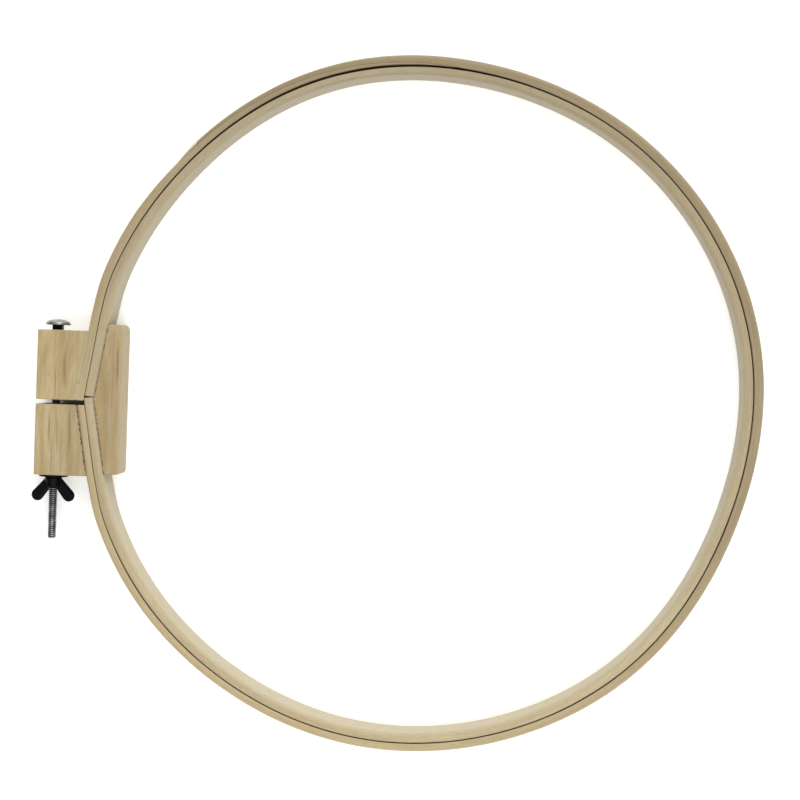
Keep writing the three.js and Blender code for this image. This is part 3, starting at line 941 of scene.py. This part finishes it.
def wing_points(side):
    """A paddle wing: a flat round-ended bar from hub to tip, with its rim rounded over."""
    root, tip = Vector(WING_ROOT), Vector(WING_TIP)
    root.x, tip.x = side * root.x, side * tip.x
    heading = (tip - root).normalized()
    aside = Vector((-heading.y, heading.x))
    outline = []
    for centre, start, radius in ((tip, -90, TIP_RADIUS), (root, 90, ROOT_RADIUS)):
        for step in range(WING_ARC_STEPS + 1):
            turn = math.radians(start + 180 * step / WING_ARC_STEPS)
            outline.append((centre, heading * math.cos(turn) + aside * math.sin(turn), radius))
    tilts = [math.radians(tilt) for tilt in range(-90, 91, RIM_STEP)]
    points = []
    for tilt in tilts:
        rise, drawn = math.sin(tilt), WING_RIM * (1 - math.cos(tilt))
        for centre, outward, radius in outline:
            at = centre + outward * (radius - drawn)
            points.append((BOLT_X + at.x, NUT_TOP + at.y, BOLT_Z + rise * WING_HALF_THICKNESS))
    return points, loft_faces(len(tilts), len(outline))


def make_wing_nut(material):
    bottom = NUT_TOP - NUT_HEIGHT
    profile = [(0, bottom), (NUT_BOTTOM_RADIUS - 0.7, bottom), (NUT_BOTTOM_RADIUS - 0.2, bottom + 0.25),
               (NUT_BOTTOM_RADIUS, bottom + 0.8), (NUT_TOP_RADIUS, NUT_TOP - 0.6),
               (NUT_TOP_RADIUS - 0.15, NUT_TOP - 0.15), (NUT_TOP_RADIUS - 0.5, NUT_TOP), (0, NUT_TOP)]
    points, faces = lathe(profile, NUT_SIDES)
    for side in (-1, 1):
        wing, wing_faces = wing_points(side)
        start = len(points)
        points += wing
        faces += [tuple(start + i for i in face) for face in wing_faces]
    nut = make_piece("wing_nut_steel", points, faces, material, None, None)
    weld(nut)
    remesh = nut.modifiers.new("one skin", "REMESH")
    remesh.mode = "VOXEL"
    remesh.voxel_size = NUT_VOXEL
    soften = nut.modifiers.new("soften", "SMOOTH")
    soften.factor = 0.5
    soften.iterations = NUT_SOFTENING
    bpy.context.view_layer.update()
    bake_modifiers(nut)
    carve(nut, [block_cutter(BOLT_RADIUS + NUT_CLEARANCE, bottom - 2.5, NUT_TOP + CUT_PAST)])
    finish_mesh(nut, material, NUT_SHARP)
    assign(nut, "wing_nut", "wing_nut")


BRAD_SIDES, BRAD_INSET = 14, 0.14
BRAD_HEAD = ((0, 0), (0.45, 0), (0.63, 0.08), (0.65, 0.2), (0.56, 0.75), (0.5, 1.0))    # radius, depth
BRAD_SHANK, BRAD_POINT, BRAD_TIP = 0.5, 1.6, (0.12, 0.05)
LOW_BRAD, HIGH_BRAD = DEPTH / 4, DEPTH * 3 / 4
# angle and height of each brad's head
INNER_BRADS = ((170.5, LOW_BRAD), (170.5, HIGH_BRAD), (191.5, LOW_BRAD), (191.5, HIGH_BRAD))
UPPER_BRADS = ((173, LOW_BRAD), (173, HIGH_BRAD))
LOWER_BRADS = ((189.5, LOW_BRAD), (189.5, HIGH_BRAD))
LAP_BRADS = ((122, LOW_BRAD), (108, HIGH_BRAD))
INNER_BRAD_LENGTH, OUTER_BRAD_LENGTH, LAP_BRAD_LENGTH = 10, 13, 3.4
INWARD, OUTWARD = -1, 1


def make_brad(node, head, along, length, body, material):
    """A small nail driven in from its head: a slightly domed flush head, a shank and a short point."""
    tip_radius, tip_length = BRAD_TIP
    profile = [*BRAD_HEAD, (BRAD_SHANK, length - BRAD_POINT), (tip_radius, length - tip_length), (0, length)]
    across = Vector((-along.y, along.x, 0))
    points = []
    for radius, distance in profile:
        for k in range(BRAD_SIDES):
            turn = 2 * math.pi * k / BRAD_SIDES
            aside = across * (radius * math.cos(turn))
            upward = Vector((0, 0, radius * math.sin(turn)))
            points.append(tuple(head + along * distance + aside + upward))
    faces = loft_faces(len(profile), BRAD_SIDES)
    nail = make_turned(node + "_steel", points, faces, material, body, node)
    if body is None:
        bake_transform(nail, "outer_back", "outer_upper", *STRIP_BEND)


def brad_heading(angle):
    """The plan angle that a brad follows: square to the straight ends near the clamp, radial elsewhere."""
    if abs(angle - CORNER_ANGLE) >= END_REACH:
        return angle
    slope = math.degrees(END_SLOPE)
    return 180 - slope if angle < CORNER_ANGLE else 180 + slope


def make_brads(material):
    def nails(prefix, face, heads, way, length, body):
        for i, (angle, z) in enumerate(heads):
            along = polar(way, brad_heading(angle)).to_3d()
            head = polar(face(angle), angle).to_3d() + along * BRAD_INSET
            head.z = z
            make_brad(f"{prefix}_{i + 1}", head, along, length, body, material)
    nails("inner_brad", inner_outside, INNER_BRADS, INWARD, INNER_BRAD_LENGTH, "inner_hoop")
    nails("upper_brad", outer_inside, UPPER_BRADS, OUTWARD, OUTER_BRAD_LENGTH, "outer_upper")
    nails("lower_brad", outer_inside, LOWER_BRADS, OUTWARD, OUTER_BRAD_LENGTH, "outer_lower")
    nails("lap_brad", outer_inside, LAP_BRADS, OUTWARD, LAP_BRAD_LENGTH, None)


# ---- everything together ----

# single brown streaks in the blocks, in mm: x, half width, from y, to y, share
UPPER_STREAKS = ((-192.6, 0.5, -4, 12, 0.75), (-192.9, 0.35, 8, 32, 0.4), (-187.4, 1.2, 6, 20, 0.6),
                 (-186.5, 0.8, 18, 30, 0.35), (-198.5, 0.5, -4, 20, 0.2))
LOWER_STREAKS = ((-196.0, 0.55, -26, -12, 0.85), (-194.6, 0.7, -42, -26, 0.5),
                 (-191.6, 0.5, -32, -14, 0.6), (-184.8, 0.7, -30, -10, 0.45), (-189.0, 0.4, -40, -20, 0.3))
INNER_STREAKS = ((-160.2, 0.9, 6, 25, 0.7), (-162.5, 0.6, -10, 30, 0.3), (-165.5, 0.5, -40, -10, 0.25),
                 (-163.0, 4.0, -38, 32, 0.16))

# each wood's painted light across the hoop: heading in degrees, from and to in metres, brightness at each
INNER_STRIP_LIGHT_GRADIENT = (90, -0.17, 0.17, 1.16, 0.86)
OUTER_STRIP_LIGHT_GRADIENT = (60, -0.185, 0.08, 1.40, 0.86)
UPPER_BLOCK_LIGHT_GRADIENT = (0, -0.189, -0.170, 1.04, 0.86)
LOWER_BLOCK_LIGHT_GRADIENT = (0, -0.189, -0.170, 0.98, 0.80)
INNER_BLOCK_LIGHT_GRADIENT = (0, -0.166, -0.152, 1.02, 0.84)
SPLINTER_LIGHT_GRADIENT = (90, -0.17, 0.17, 1.0, 0.95)

# colours of upright faces, partly painted sheen
STRIP_FACE, BLOCK_FACE = (0.455, 0.415, 0.325), (0.44, 0.37, 0.24)
BLOCK_PALE, BLOCK_DEEP, BLOCK_STREAK = (0.485, 0.392, 0.225), (0.375, 0.272, 0.125), (0.15, 0.068, 0.02)
BLOCK_MOTTLE = (0.16, 0.022)


def block_wood(name, light_gradient, offset, ring_share, streaks):
    return wood(name, BLOCK_PALE, BLOCK_DEEP, BLOCK_FACE, BLOCK_STREAK, light_gradient, offset, ring_share,
                BLOCK_MOTTLE, streaks)


def make_wooden_pieces():
    inner_strip = wood("inner strip wood", (0.425, 0.355, 0.222), (0.355, 0.290, 0.170), STRIP_FACE,
                       (0.24, 0.155, 0.07), INNER_STRIP_LIGHT_GRADIENT)
    outer_strip = wood("outer strip wood", (0.372, 0.300, 0.175), (0.298, 0.235, 0.127), STRIP_FACE,
                       (0.20, 0.13, 0.06), OUTER_STRIP_LIGHT_GRADIENT, (13, 400, 7))
    # painted highlight: the splinter's wood is made far paler than the strip
    splinter = wood("splinter wood", (0.74, 0.69, 0.58), (0.64, 0.58, 0.46), (0.46, 0.41, 0.31),
                    (0.42, 0.34, 0.22), SPLINTER_LIGHT_GRADIENT)
    upper_wood = block_wood("upper block wood", UPPER_BLOCK_LIGHT_GRADIENT, (0, 0, 0), 0.12, UPPER_STREAKS)
    lower_wood = block_wood("lower block wood", LOWER_BLOCK_LIGHT_GRADIENT, (37, 90, 5), 0.12, LOWER_STREAKS)
    inner_wood = block_wood("inner block wood", INNER_BLOCK_LIGHT_GRADIENT, (91, 20, 60), 0.14, INNER_STREAKS)
    pale_glue = glue("pale glue", (0.50, 0.43, 0.30), (0.34, 0.27, 0.16), 0.1)
    # the dark in this glue is painted shade in its gaps
    gap_shaded_glue = glue("broken glue", (0.42, 0.35, 0.22), (0.16, 0.085, 0.035), 0.42)
    make_inner_ring(inner_strip)
    make_outer_strips(outer_strip)
    make_splinter(splinter)
    make_blocks(upper_wood, lower_wood, inner_wood)
    make_seams(pale_glue, gap_shaded_glue)


def make_steel_pieces():
    zinc = metal("zinc steel", (0.36, 0.37, 0.34), (0.17, 0.175, 0.16), (0.28, 0.42), 0.9)
    black = metal("black steel", (0.0035, 0.005, 0.007), (0.0015, 0.002, 0.003), (0.26, 0.40), 0.0, 0.06)
    thread = metal("dulled thread", (0.40, 0.43, 0.43), (0.12, 0.13, 0.135), (0.12, 0.26), 0.9, 0.5,
                   (0.004, 0.005, 0.006))
    nail = metal("nail steel", (0.35, 0.35, 0.33), (0.2, 0.19, 0.18), (0.35, 0.5), 0.9)
    make_thread(thread)
    make_neck(black)
    make_head(zinc)
    make_washer(black)
    make_wing_nut(black)
    make_brads(nail)


def main():
    make_camera()
    make_light()
    make_floor()
    make_wooden_pieces()
    make_steel_pieces()


main()
